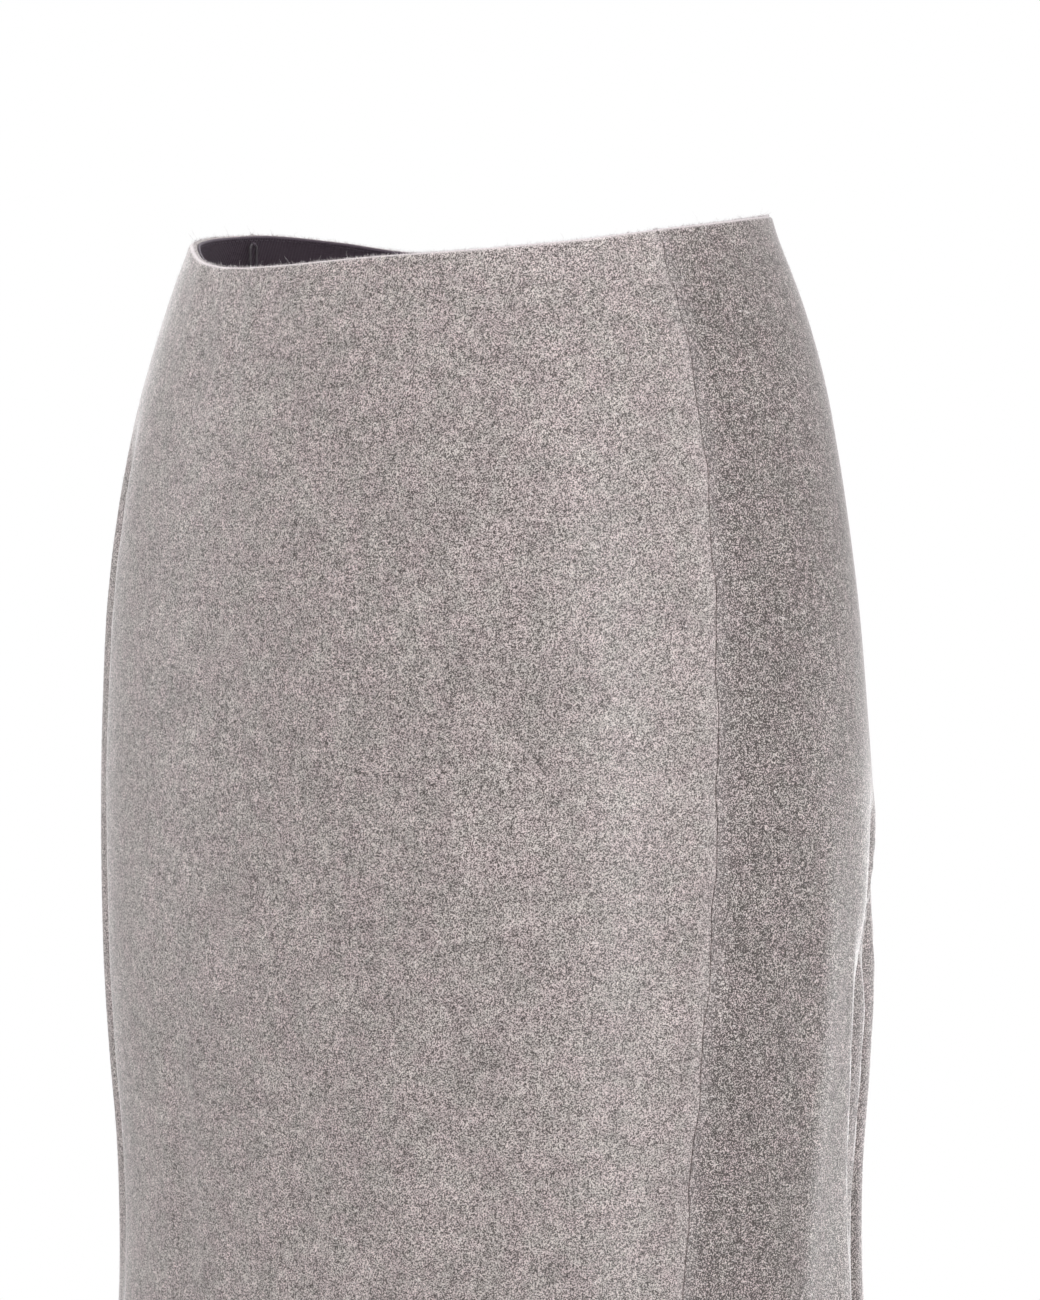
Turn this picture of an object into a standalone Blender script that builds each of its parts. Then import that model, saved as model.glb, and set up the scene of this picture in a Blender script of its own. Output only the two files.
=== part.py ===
"""Flared midi skirt in grey wool flannel, filled out as it is when worn.

A front panel and two back panels are lofted walls through sections that follow the cut: a close waist, a full hip,
a slim thigh and a flared, fluted hem. Inside the waist lies a black grosgrain facing with two hanger loops. The
centre back seam has a concealed zip, with its slider up and a teardrop pull outside.

The wearer's front faces -Y and the wearer's left is +X. The origin is the centre of the waist, where the wearer
holds the skirt up. A bearing is an angle round the body in degrees: 0 at centre front, 90 at the wearer's left,
180 at centre back. A drop is a distance down from the cloth's top edge. All sizes are in metres.
"""

import math

import bmesh
import bpy
from mathutils import Matrix, Vector

# Cloth
LENGTH = 0.760
FLANNEL = 0.0018
SEAM_GAP = 0.0003
WAIST_TURNING = (0.012, 0.0012)  # how far the turned edge reaches, and what it adds to the wall
HEM_TURNING = (0.035, 0.0016)

# Trims
TRIM_GAP = 0.0003
FACING_WIDTH = 0.030
RIBBON = 0.0010
LOOP_WIDTH = 0.0055
LOOP_LENGTH = 0.085
LOOP_BAND = 0.0013
LOOP_DROP = 0.0030
LOOP_BEARINGS = {"hanger_loop_left": 78.0, "hanger_loop_right": 282.0}

# Concealed zip at centre back
ZIP_TOP = 0.0140
ZIP_END = 0.210
ZIP_TAPE = (0.011, 0.0009)  # width and thickness
ZIP_CHAIN = (0.0034, 0.0016)
FACING_NOTCH = 0.006  # the facing stops this far from centre back, on each side
PARTED_EDGES = (0.0011, 0.010, 0.021)  # half the gap round the slider's neck, and the drops where it closes
SLIDER_BODY = (0.0054, 0.0026, 0.0090)  # width, depth and height
SLIDER_DROP = 0.0042
BAIL_DROP = 0.0075
BAIL_PLATE = 0.0012
BAIL_ROUND = 0.0018
BAIL_EYE = 0.0011
PULL_SIZE = (0.0022, 0.0031, 0.021, 0.0009)  # top radius, bottom radius, length between them and thickness
PULL_BAR = 0.0010
PULL_WINDOW = (0.0020, 0.0022)  # width and depth of the window that the bail passes through

# The skirt's sections, from the waist down. Each is a rounded oval round the body.
SECTIONS = (
    # level, half width, front half depth, back half depth, side seam's bearing
    (0.012, 0.1210, 0.0985, 0.0930, 80.2),
    (0.000, 0.1255, 0.1015, 0.0955, 79.4),
    (-0.020, 0.1360, 0.1065, 0.1000, 79.2),
    (-0.040, 0.1435, 0.1120, 0.1050, 79.4),
    (-0.060, 0.1500, 0.1172, 0.1080, 79.6),
    (-0.095, 0.1590, 0.1232, 0.1104, 79.1),
    (-0.135, 0.1670, 0.1266, 0.1124, 78.0),
    (-0.185, 0.1720, 0.1273, 0.1156, 76.9),
    (-0.230, 0.1735, 0.1272, 0.1190, 76.1),
    (-0.290, 0.1715, 0.1264, 0.1195, 74.8),
    (-0.370, 0.1655, 0.1216, 0.1140, 72.9),
    (-0.470, 0.1680, 0.1240, 0.1200, 72.0),
    (-0.570, 0.1830, 0.1370, 0.1360, 72.2),
    (-0.670, 0.2060, 0.1560, 0.1570, 72.6),
    (-0.760, 0.2290, 0.1750, 0.1770, 73.0),
)
SQUARENESS = 2.1  # 2 is an ellipse, and more is nearer a box with round corners

# How far the top edge stands above the waist's level, as the skirt hangs.
WAIST_EDGE = (
    # bearing, height
    (0, -0.0110),
    (20, -0.0082),
    (40, -0.0058),
    (60, -0.0025),
    (85, 0.0029),
    (110, 0.0069),
    (134, 0.0081),
    (160, 0.0063),
    (185, 0.0038),
    (200, 0.0014),
    (215, -0.0009),
    (228, -0.0025),
    (237, -0.0030),
    (246, -0.0013),
    (255, 0.0008),
    (275, 0.0033),
    (292, 0.0022),
    (305, 0.0006),
    (321, -0.0024),
    (335, -0.0085),
    (348, -0.0114),
)
EDGE_FADE = (0.036, 0.140)  # the drops between which the edge's rise and fall dies out

# Soft flutes, where the flared cloth hangs out from the body.
FLUTES = (
    # bearing, half width of the crest, level where it starts, height at the thigh, height at the hem
    (0, 17, -0.410, 0.000, 0.024),
    (33, 16, -0.400, 0.000, 0.031),
    (63, 15, -0.380, 0.000, 0.027),
    (91, 14, -0.330, 0.001, 0.032),
    (115, 13, -0.250, 0.003, 0.026),
    (137, 12, -0.235, 0.003, 0.032),
    (160, 13, -0.230, 0.004, 0.027),
    (183, 14, -0.240, 0.002, 0.031),
    (206, 12, -0.230, 0.004, 0.025),
    (227, 12, -0.235, 0.003, 0.031),
    (248, 13, -0.250, 0.002, 0.028),
    (272, 15, -0.330, 0.001, 0.032),
    (301, 16, -0.380, 0.000, 0.026),
    (331, 16, -0.400, 0.000, 0.030),
)
THIGH_LEVEL = -0.370
HEM_LEVEL = -LENGTH

# Grids
FRONT_COLUMNS = 40
BACK_COLUMNS = 28
FACING_COLUMNS = 84
ROW_DROPS = (
    0.0, 0.006, 0.012, 0.0125, 0.021, 0.030, 0.044, 0.062, 0.084, 0.110, 0.140, 0.175, 0.210, 0.245, 0.280,
    0.315, 0.350, 0.385, 0.420, 0.455, 0.490, 0.525, 0.560, 0.595, 0.630, 0.662, 0.694, 0.7245, 0.725, 0.760,
)

# Finishes: name, colour, roughness and metallic
GREY_FLANNEL = ("grey_flannel", (0.33, 0.29, 0.28), 0.95, 0.0)
BLACK_GROSGRAIN = ("black_grosgrain", (0.030, 0.024, 0.032), 0.60, 0.0)
GREY_ZIP = ("grey_zip", (0.22, 0.20, 0.20), 0.70, 0.0)
ZIP_METAL = ("zip_metal", (0.30, 0.28, 0.28), 0.40, 0.8)


def smoothstep(low, high, value):
    share = min(1.0, max(0.0, (value - low) / (high - low)))
    return share * share * (3 - 2 * share)


def smooth_curve(points, at):
    """A smooth curve through (place, value) points in rising order of place, read at one place."""
    at = min(max(at, points[0][0]), points[-1][0])
    last = len(points) - 2
    i = next(k for k in range(last + 1) if at <= points[k + 1][0] or k == last)
    slopes = []
    for k in (i, i + 1):
        before, after = points[max(k - 1, 0)], points[min(k + 1, len(points) - 1)]
        slopes.append((after[1] - before[1]) / (after[0] - before[0]))
    (start, low), (end, high) = points[i], points[i + 1]
    width = end - start
    t = (at - start) / width
    return (
        low * (1 + 2 * t) * (1 - t) ** 2
        + high * t * t * (3 - 2 * t)
        + width * slopes[0] * t * (1 - t) ** 2
        - width * slopes[1] * t * t * (1 - t)
    )


def section_value(column, level):
    """One column of SECTIONS at a level."""
    return smooth_curve([(row[0], row[column]) for row in reversed(SECTIONS)], level)


def edge_height(bearing):
    """How far the top edge stands above the waist's level at a bearing."""
    before = [(b - 360, h) for b, h in WAIST_EDGE[-2:]]
    after = [(b + 360, h) for b, h in WAIST_EDGE[:2]]
    return smooth_curve(before + list(WAIST_EDGE) + after, bearing % 360)


def flute_rise(bearing, level):
    """How far the flutes push the cloth out at a bearing and level."""
    rise = 0.0
    for crest, half_width, start, at_thigh, at_hem in FLUTES:
        away = abs((bearing - crest + 180) % 360 - 180) / half_width
        if away >= 1 or level >= start:
            continue
        heights = [(HEM_LEVEL, at_hem), (start, 0.0), (start + 0.1, 0.0)]
        if start > THIGH_LEVEL:
            heights.insert(1, (THIGH_LEVEL, at_thigh))
        rise += smooth_curve(heights, level) * (0.5 + 0.5 * math.cos(math.pi * away))
    return rise


def oval_point(bearing, level):
    """The plain section's point at a bearing and level."""
    angle = math.radians(bearing)
    sine, cosine = math.sin(angle), math.cos(angle)
    power = 2 / SQUARENESS
    depth = section_value(2, level) if cosine > 0 else section_value(3, level)
    across = section_value(1, level) * math.copysign(abs(sine) ** power, sine)
    along = depth * math.copysign(abs(cosine) ** power, cosine)
    return Vector((across, -along, level))


def oval_normal(bearing, level):
    """The plain section's outward direction, level, at a bearing."""
    step = 1.0
    along = oval_point(bearing + step, level) - oval_point(bearing - step, level)
    return Vector((along.y, -along.x, 0.0)).normalized()


def outer_point(bearing, drop):
    """A point on the cloth's outside."""
    level = edge_height(bearing) * (1 - smoothstep(*EDGE_FADE, drop)) - drop
    level = max(level, HEM_LEVEL)
    return oval_point(bearing, level) + oval_normal(bearing, level) * flute_rise(bearing, level)


def outer_normal(bearing, drop):
    """The cloth's outward direction."""
    turn, fall = 0.8, 0.003
    across = outer_point(bearing + turn, drop) - outer_point(bearing - turn, drop)
    down = outer_point(bearing, drop + fall) - outer_point(bearing, max(drop - fall, 0.0))
    return across.cross(-down).normalized()


def moved_in(bearing, drop, distance):
    """The point that lies straight in from the cloth's outside, where the distance through the cloth is given."""
    normal = outer_normal(bearing, drop)
    level_normal = Vector((normal.x, normal.y, 0.0))
    return outer_point(bearing, drop) - level_normal * (distance / level_normal.length_squared)


def degrees_for(length, bearing, drop):
    """The change of bearing that covers a length round the cloth."""
    per_degree = (outer_point(bearing + 1, drop) - outer_point(bearing - 1, drop)).length / 2
    return length / per_degree


def wall_thickness(drop):
    """The flannel's thickness, with the turnings folded behind it at the waist and the hem."""
    if drop <= WAIST_TURNING[0]:
        return FLANNEL + WAIST_TURNING[1]
    if drop >= LENGTH - HEM_TURNING[0]:
        return FLANNEL + HEM_TURNING[1]
    return FLANNEL


def spread(first, last, count):
    return [first + (last - first) * i / count for i in range(count + 1)]


def add_object(name, mesh, finish, collection):
    finish_name, colour, roughness, metallic = finish
    material = bpy.data.materials.get(finish_name) or bpy.data.materials.new(finish_name)
    material.use_nodes = True
    shader = material.node_tree.nodes["Principled BSDF"]
    shader.inputs["Base Color"].default_value = (*colour, 1.0)
    shader.inputs["Roughness"].default_value = roughness
    shader.inputs["Metallic"].default_value = metallic
    mesh.materials.append(material)
    obj = bpy.data.objects.new(name, mesh)
    collection.objects.link(obj)
    return obj


def lofted_wall(name, drops, bearings_at, near, far, finish, collection):
    """A closed wall that follows the cloth, between two distances in from its outside.

    bearings_at gives the columns' bearings at a drop. near and far give the distances at a drop.
    """
    shape = bmesh.new()
    faces = []
    for distance in (near, far):
        rows = []
        for drop in drops:
            points = [moved_in(bearing, drop, distance(drop)) for bearing in bearings_at(drop)]
            rows.append([shape.verts.new(point) for point in points])
        faces.append(rows)
    outer, inner = faces
    last_row, last_column = len(outer) - 1, len(outer[0]) - 1
    for r in range(last_row):
        for c in range(last_column):
            shape.faces.new([outer[r][c], outer[r + 1][c], outer[r + 1][c + 1], outer[r][c + 1]])
            shape.faces.new([inner[r][c], inner[r][c + 1], inner[r + 1][c + 1], inner[r + 1][c]])
    for c in range(last_column):
        shape.faces.new([outer[0][c], outer[0][c + 1], inner[0][c + 1], inner[0][c]])
        shape.faces.new([outer[-1][c + 1], outer[-1][c], inner[-1][c], inner[-1][c + 1]])
    for r in range(last_row):
        shape.faces.new([outer[r + 1][0], outer[r][0], inner[r][0], inner[r + 1][0]])
        shape.faces.new([outer[r][-1], outer[r + 1][-1], inner[r + 1][-1], inner[r][-1]])
    mesh = bpy.data.meshes.new(name)
    shape.to_mesh(mesh)
    shape.free()
    mesh.shade_smooth()
    mesh.set_sharp_from_angle(angle=math.radians(40))
    return add_object(name, mesh, finish, collection)


def left_seam(drop):
    """The bearing of the wearer's left side seam, half a seam gap before it."""
    seam = section_value(4, -drop)
    return seam, degrees_for(SEAM_GAP / 2, seam, drop)


def back_seam(drop):
    """Centre back, where the edges part round the slider's neck."""
    parted, closing, closed = PARTED_EDGES
    half_gap = SEAM_GAP / 2 + (parted - SEAM_GAP / 2) * (1 - smoothstep(closing, closed, drop))
    return 180.0, degrees_for(half_gap, 180.0, drop)


def front_panel(collection):
    def columns(drop):
        seam, gap = left_seam(drop)
        return spread(gap - seam, seam - gap, FRONT_COLUMNS)

    lofted_wall("front_panel", ROW_DROPS, columns, no_distance, wall_thickness, GREY_FLANNEL, collection)


def back_panels(collection):
    def left_columns(drop):
        (side, side_gap), (back, back_gap) = left_seam(drop), back_seam(drop)
        return spread(side + side_gap, back - back_gap, BACK_COLUMNS)

    def right_columns(drop):
        return [360 - bearing for bearing in reversed(left_columns(drop))]

    for name, columns in (("back_panel_left", left_columns), ("back_panel_right", right_columns)):
        lofted_wall(name, ROW_DROPS, columns, no_distance, wall_thickness, GREY_FLANNEL, collection)


def no_distance(drop):
    return 0.0


def waist_facing(collection):
    """The grosgrain lies inside the turned waist edge, from one side of the zip round to the other."""
    near = FLANNEL + WAIST_TURNING[1] + TRIM_GAP
    far = near + RIBBON
    drops = [drop for drop in ROW_DROPS if drop <= FACING_WIDTH and drop != 0.0125]

    def columns(drop):
        notch = degrees_for(FACING_NOTCH, 180.0, drop)
        return spread(notch - 180, 180 - notch, FACING_COLUMNS)

    lofted_wall("waist_facing", drops, columns, lambda _: near, lambda _: far, BLACK_GROSGRAIN, collection)
    return far


def tapered_outline(top_radius, bottom_radius, length, steps=6):
    """Points round a long drop shape: a half circle about the origin above, and one a length below it."""
    points = []
    for centre, radius, first in ((0.0, top_radius, 0.0), (-length, bottom_radius, math.pi)):
        for step in range(steps + 1):
            angle = first + math.pi * step / steps
            points.append((radius * math.cos(angle), centre + radius * math.sin(angle)))
    return points


def plate(name, outlines, thickness, place, finish, collection):
    """A flat piece with holes: outlines in its own X and Y, the first one the rim, and its thickness along Z."""
    curve = bpy.data.curves.new(name, "CURVE")
    curve.dimensions = "2D"
    curve.fill_mode = "BOTH"
    curve.extrude = thickness / 2
    for outline in outlines:
        spline = curve.splines.new("POLY")
        spline.points.add(len(outline) - 1)
        for point, (x, y) in zip(spline.points, outline):
            point.co = (x, y, 0.0, 1.0)
        spline.use_cyclic_u = True
    flat = bpy.data.objects.new(name, curve)
    mesh = bpy.data.meshes.new_from_object(flat)
    mesh.name = name
    bpy.data.objects.remove(flat)
    bpy.data.curves.remove(curve)
    welded = bmesh.new()
    welded.from_mesh(mesh)
    bmesh.ops.remove_doubles(welded, verts=welded.verts, dist=1e-6)
    welded.to_mesh(mesh)
    welded.free()
    mesh.materials.clear()
    obj = add_object(name, mesh, finish, collection)
    obj.matrix_world = place
    return obj


def frame_at(origin, x_axis, y_axis):
    """A placing whose X and Y run along the given directions."""
    axes = (x_axis, y_axis, x_axis.cross(y_axis))
    return Matrix.Translation(origin) @ Matrix(axes).transposed().to_4x4()


def hanger_loops(facing_depth, collection):
    """Narrow tubular loops, tacked to the facing by their tops at the side seams and hanging inside."""
    up = Vector((0, 0, 1))
    round_end = LOOP_WIDTH / 2
    straight = LOOP_LENGTH - LOOP_WIDTH
    rim = tapered_outline(round_end, round_end, straight)
    inside = tapered_outline(round_end - LOOP_BAND, round_end - LOOP_BAND, straight)
    for name, bearing in LOOP_BEARINGS.items():
        normal = oval_normal(bearing, 0.0)
        top = moved_in(bearing, LOOP_DROP, facing_depth + TRIM_GAP) - normal * (LOOP_BAND / 2)
        place = frame_at(top - up * round_end, up.cross(normal), up)
        plate(name, (rim, inside), LOOP_BAND, place, BLACK_GROSGRAIN, collection)


def zip_tapes(collection):
    """The zip's woven tapes, sewn behind the back panels' edges."""
    width, thickness = ZIP_TAPE
    near = FLANNEL + TRIM_GAP
    drops = [ZIP_TOP] + [drop for drop in ROW_DROPS if ZIP_TOP < drop < ZIP_END] + [ZIP_END]

    def left_columns(drop):
        edge = degrees_for(SEAM_GAP / 2, 180.0, drop)
        return spread(180 - degrees_for(width, 180.0, drop), 180 - edge, 3)

    def right_columns(drop):
        return [360 - bearing for bearing in reversed(left_columns(drop))]

    for name, columns in (("zip_tape_left", left_columns), ("zip_tape_right", right_columns)):
        lofted_wall(name, drops, columns, lambda _: near, lambda _: near + thickness, GREY_ZIP, collection)
    return near + thickness


def zip_chain(tape_depth, collection):
    """The closed coil of teeth, as a plain strip over the tapes' meeting edges."""
    width, thickness = ZIP_CHAIN
    near = tape_depth + TRIM_GAP
    drops = [ZIP_TOP] + [drop for drop in ROW_DROPS if ZIP_TOP < drop < ZIP_END] + [ZIP_END - width]

    def columns(drop):
        half = degrees_for(width / 2, 180.0, drop)
        return spread(180 - half, 180 + half, 2)

    lofted_wall("zip_chain", drops, columns, lambda _: near, lambda _: near + thickness, GREY_ZIP, collection)


def bail_centre():
    """The middle of the bail's eye, just outside the flannel at centre back. The pull turns about it."""
    clear = PULL_SIZE[3] / 2 + TRIM_GAP
    return outer_point(180.0, BAIL_DROP) + Vector((0, clear, 0))


def zip_slider(collection):
    """The slider's body inside the skirt, and its bail, which comes out between the parted edges."""
    width, depth, height = SLIDER_BODY
    axis = bail_centre()
    face = moved_in(180.0, SLIDER_DROP, FLANNEL + WAIST_TURNING[1] + TRIM_GAP)
    top = outer_point(180.0, SLIDER_DROP).z
    middle = Vector((0, face.y - depth / 2, top - height / 2))
    shape = bmesh.new()
    bmesh.ops.create_cube(shape, size=1.0, matrix=Matrix.LocRotScale(middle, None, (width, depth, height)))
    mesh = bpy.data.meshes.new("zip_slider")
    shape.to_mesh(mesh)
    shape.free()
    slider = add_object("zip_slider", mesh, ZIP_METAL, collection)

    reach = axis.y - middle.y
    rim = tapered_outline(BAIL_ROUND, depth / 2 - TRIM_GAP, reach)
    eye = [(BAIL_EYE * math.cos(a), BAIL_EYE * math.sin(a)) for a in spread(0, math.tau, 12)[:-1]]
    place = frame_at(axis, Vector((0, 0, -1)), Vector((0, 1, 0)))
    bail = plate("bail", (rim, eye), BAIL_PLATE, place, ZIP_METAL, collection)
    join = slider.modifiers.new("bail", "BOOLEAN")
    join.operation = "UNION"
    join.object = bail
    graph = bpy.context.evaluated_depsgraph_get()
    slider.data = bpy.data.meshes.new_from_object(slider.evaluated_get(graph))
    slider.modifiers.remove(join)
    bpy.data.objects.remove(bail)


def zip_pull(collection):
    """The teardrop pull hangs from the bail and lies on the flannel below it."""
    top, bottom, length, thickness = PULL_SIZE
    axis = bail_centre()
    tip_level = axis.z - length - bottom
    drop = BAIL_DROP + length + bottom
    lying = outer_point(180.0, drop) + Vector((0, axis.y - outer_point(180.0, BAIL_DROP).y, 0))
    along = Vector((0, axis.y - lying.y, axis.z - tip_level)).normalized()
    window_width, window_depth = PULL_WINDOW
    half_bar = PULL_BAR / 2
    rim = tapered_outline(top, bottom, length)
    rim = [(x, min(y, half_bar)) for x, y in rim]
    window = [
        (-window_width / 2, -half_bar),
        (-window_width / 2, -half_bar - window_depth),
        (window_width / 2, -half_bar - window_depth),
        (window_width / 2, -half_bar),
    ]
    place = frame_at(axis, Vector((-1, 0, 0)), along)
    plate("zip_pull", (rim, window), thickness, place, ZIP_METAL, collection)


def build():
    for obj in list(bpy.data.objects):
        bpy.data.objects.remove(obj)
    collection = bpy.data.collections.new("flared_midi_skirt")
    bpy.context.scene.collection.children.link(collection)
    front_panel(collection)
    back_panels(collection)
    facing_depth = waist_facing(collection)
    hanger_loops(facing_depth, collection)
    tape_depth = zip_tapes(collection)
    zip_chain(tape_depth, collection)
    zip_slider(collection)
    zip_pull(collection)


build()
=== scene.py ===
"""Flared midi skirt in grey wool flannel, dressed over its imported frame, piece by piece as it is sewn.

A bearing is in degrees round the body: 0 at centre front, 90 at the wearer's left and 180 at centre back.
A level is a height from the waist. A drop is a distance down the cloth from its top edge. All sizes are in
metres.
"""

import math
import random

import bmesh
import bpy
import numpy as np
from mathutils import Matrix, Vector


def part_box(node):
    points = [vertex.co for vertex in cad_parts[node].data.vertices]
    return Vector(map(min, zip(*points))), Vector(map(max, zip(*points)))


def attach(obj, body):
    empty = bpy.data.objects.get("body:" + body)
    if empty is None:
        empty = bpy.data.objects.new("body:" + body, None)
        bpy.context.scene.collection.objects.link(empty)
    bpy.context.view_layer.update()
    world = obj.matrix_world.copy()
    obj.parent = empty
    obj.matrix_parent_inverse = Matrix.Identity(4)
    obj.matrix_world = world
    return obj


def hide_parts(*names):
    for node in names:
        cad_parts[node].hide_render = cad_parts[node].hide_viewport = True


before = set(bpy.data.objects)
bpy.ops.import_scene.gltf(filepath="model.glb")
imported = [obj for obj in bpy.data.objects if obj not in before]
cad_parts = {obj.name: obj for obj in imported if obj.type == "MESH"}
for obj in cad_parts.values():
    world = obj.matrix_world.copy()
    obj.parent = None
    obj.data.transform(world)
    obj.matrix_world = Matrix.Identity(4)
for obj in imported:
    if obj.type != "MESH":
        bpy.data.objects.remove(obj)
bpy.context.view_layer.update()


# ------------------------------------------------------------------------------ Front panel
# One piece of thick wool flannel in a light grey melange, cut on the fold with no darts. Its top edge is
# turned in over the facing, its hem is turned up 35 mm, and its sides are sewn to the back panels.

FLANNEL = 0.0018
WAIST_TURNING = 0.0120  # how far in the cloth is turned, and the thickness that its pressed layer adds
WAIST_LAYER = 0.0012
HEM_TURNING = 0.0350
HEM_LAYER = 0.0016
SEAM_TURNING = 0.0120
SEAM_LAYER = 0.0012
RAW_EDGE = 0.0004  # the length over which a turned layer ends
FOLD_ROUND = 0.0012
SEAM_ROUND = 0.0005
ROLL_PLACES = np.array((0.0, 0.00015, 0.0004, 0.0008, 0.0014, 0.0024))  # how far in from an edge that rolls
PANEL_ROWS = 140
ROW_CROWDING = 1.3  # more than 1 brings the rows closer together towards the waist
FRONT_COLUMNS = 190

# The folds of the hanging cloth, less than 0 deep where they are ridges. The crisp ones are those that the
# picture shows edge on. A fold leans from its top's bearing to its foot's, and its levels are those of its
# top, of its deepest place and of its foot.
CRISP_FOLDS = (
    # top bearing, foot bearing, half width in degrees, top level, deepest level, foot level, depth
    (-45.0, -50.5, 4.6, -0.060, -0.120, -0.235, 0.0054),
    (-49.5, -47.5, 4.4, -0.160, -0.290, -0.460, 0.0050),
    (117.0, 107.0, 4.4, -0.200, -0.250, -0.315, 0.0074),
    (107.8, 113.0, 4.6, -0.245, -0.320, -0.520, 0.0084),
    (119.0, 114.0, 5.4, -0.215, -0.275, -0.520, 0.0036),
    (116.0, 114.0, 4.6, -0.225, -0.285, -0.350, 0.0018),
    (123.5, 116.5, 3.8, -0.210, -0.260, -0.330, 0.0056),
    (117.5, 118.0, 3.8, -0.250, -0.320, -0.500, 0.0062),
)
SOFT_FOLDS = (
    # top bearing, foot bearing, half width in degrees, top level, deepest level, foot level, depth
    (98.0, 95.5, 6.0, -0.185, -0.270, -0.540, -0.0014),
    (121.0, 121.5, 5.0, -0.190, -0.230, -0.330, -0.0016),
    (122.5, 123.0, 4.0, -0.240, -0.330, -0.410, -0.0013),
    (130.5, 126.0, 5.5, -0.215, -0.330, -0.600, 0.0050),
    (141.0, 139.0, 4.2, -0.250, -0.310, -0.400, 0.0022),
    (152.5, 148.5, 7.0, -0.190, -0.320, -0.620, 0.0062),
    (163.5, 165.0, 4.5, -0.270, -0.340, -0.430, 0.0026),
    (174.5, 171.5, 6.0, -0.235, -0.350, -0.590, 0.0044),
    (-168.5, -165.5, 6.2, -0.205, -0.300, -0.600, 0.0058),
    (-155.0, -156.5, 4.0, -0.270, -0.330, -0.410, 0.0020),
    (-147.5, -143.5, 7.2, -0.225, -0.335, -0.630, 0.0060),
    (-133.5, -131.5, 4.4, -0.200, -0.280, -0.400, 0.0028),
    (-125.0, -122.5, 6.0, -0.210, -0.320, -0.600, 0.0064),
    (-111.5, -110.0, 4.8, -0.180, -0.270, -0.420, 0.0036),
    (-102.5, -100.0, 6.4, -0.215, -0.330, -0.580, 0.0038),
    (48.0, 47.0, 6.0, -0.260, -0.360, -0.520, 0.0014),
    (16.0, 17.5, 7.0, -0.240, -0.350, -0.520, 0.0012),
    (-17.0, -15.5, 7.0, -0.220, -0.340, -0.500, 0.0014),
    (-30.0, -20.0, 7.5, 0.020, -0.020, -0.095, -0.0006),
    (-17.0, -4.0, 6.0, 0.020, -0.025, -0.110, -0.0008),
    (-9.0, 6.0, 4.5, 0.015, -0.030, -0.120, -0.0006),
    (150.0, 141.0, 5.0, 0.020, -0.020, -0.095, -0.0008),
    (-152.0, -146.0, 5.0, 0.020, -0.025, -0.085, -0.0008),
)
PUCKER_REACH = 0.014  # how far the pull of the stitches shows to each side of a seam
PUCKER_FADE = 0.050
PUCKERS = ((0.0093, 0.00040, 0.4), (0.0171, 0.00060, 2.1))  # length of a pucker, its height and its start
SEAM_WANDER = ((0.046, 0.0006, 0.9), (0.021, 0.00025, 2.4))  # length of a bend, how far aside and its start
WANDER_START = 0.010
SEAM_CLOSE = 0.00006  # how far a seam's edges are drawn together
SEAM_BITE = 0.003  # and how far into the cloth that goes

# Where the cloth is rubbed at the hem and pressed at the seams, its nap is paler, from 0 to 1. Along the
# turned waist edge and the folds' crests the same paler colour is a painted highlight, for light from above
# and behind.
EDGE_HIGHLIGHT_AND_WEAR_REACH = 0.0010  # how far down a fold its paler line goes: painted highlight at the waist edge, rubbed nap at the hem
PRESSED_REACH = 0.0080  # how far from a seam its pressing shows
CREST_REACH = 3  # columns to each side that a crest's height is measured over
CREST_HEIGHTS = (0.00030, 0.00150)
# how pale the folds' crests are painted, as a highlight for light from behind
CREST_HIGHLIGHT = 0.12
HEM_WEAR = 0.4
SEAM_WEAR = 0.10
INNER_WEAR_AND_HIGHLIGHT = 0.3  # the inner side's share of the outer side's wear and painted highlight


def wall_rows(node_name, middle, facing_out=True):
    """One side of a cloth node: its points in rows from the top edge down, by bearing from the middle."""
    shape = bmesh.new()
    shape.from_mesh(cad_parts[node_name].data)
    bmesh.ops.remove_doubles(shape, verts=shape.verts, dist=1e-6)
    shape.normal_update()

    def faces_our_way(face):
        place = face.calc_center_median()
        share = face.normal.dot(Vector((place.x, place.y, 0)).normalized())
        return share > 0.5 if facing_out else share < -0.5

    def turn(vert):
        return (math.degrees(math.atan2(vert.co.x, -vert.co.y)) - middle + 180) % 360 - 180

    side = {vert for face in shape.faces if faces_our_way(face) for vert in face.verts}
    row = [vert for vert in side if any(face.normal.z > 0.7 for face in vert.link_faces)]
    rows = []
    seen = set()
    while row:
        row.sort(key=turn)
        rows.append([tuple(vert.co) for vert in row])
        seen.update(row)
        below = []
        for vert in row:
            near = [edge.other_vert(vert) for edge in vert.link_edges]
            near = [other for other in near if other in side and other not in seen]
            if near:
                below.append(min(near, key=lambda other: abs(turn(other) - turn(vert))))
        row = below
    shape.free()
    return np.array(rows)


def read_between(points, places, wanted):
    """Points at the wanted places along the smooth lines through known ones."""
    slopes = np.gradient(points, places, axis=0)
    before = np.clip(np.searchsorted(places, wanted, side="right") - 1, 0, len(places) - 2)
    shape = (-1,) + (1,) * (points.ndim - 1)
    width = (places[before + 1] - places[before]).reshape(shape)
    t = (wanted - places[before]).reshape(shape) / width
    return (
        points[before] * (1 + 2 * t) * (1 - t) ** 2
        + points[before + 1] * t * t * (3 - 2 * t)
        + width * slopes[before] * t * (1 - t) ** 2
        - width * slopes[before + 1] * t * t * (1 - t)
    )


def chord_places(points):
    """Distances along a line of points, or the mean ones along a set of lines."""
    steps = np.linalg.norm(np.diff(points, axis=0), axis=-1)
    if steps.ndim > 1:
        steps = steps.mean(axis=1)
    return np.concatenate(((0.0,), np.cumsum(steps)))


def edge_places(turning):
    """Distances in from an edge, close together where it rolls in and where the turned cloth ends."""
    inner = np.linspace(ROLL_PLACES[-1], turning - RAW_EDGE, 4)[1:]
    return np.concatenate((ROLL_PLACES, inner, (turning, turning + RAW_EDGE)))


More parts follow.
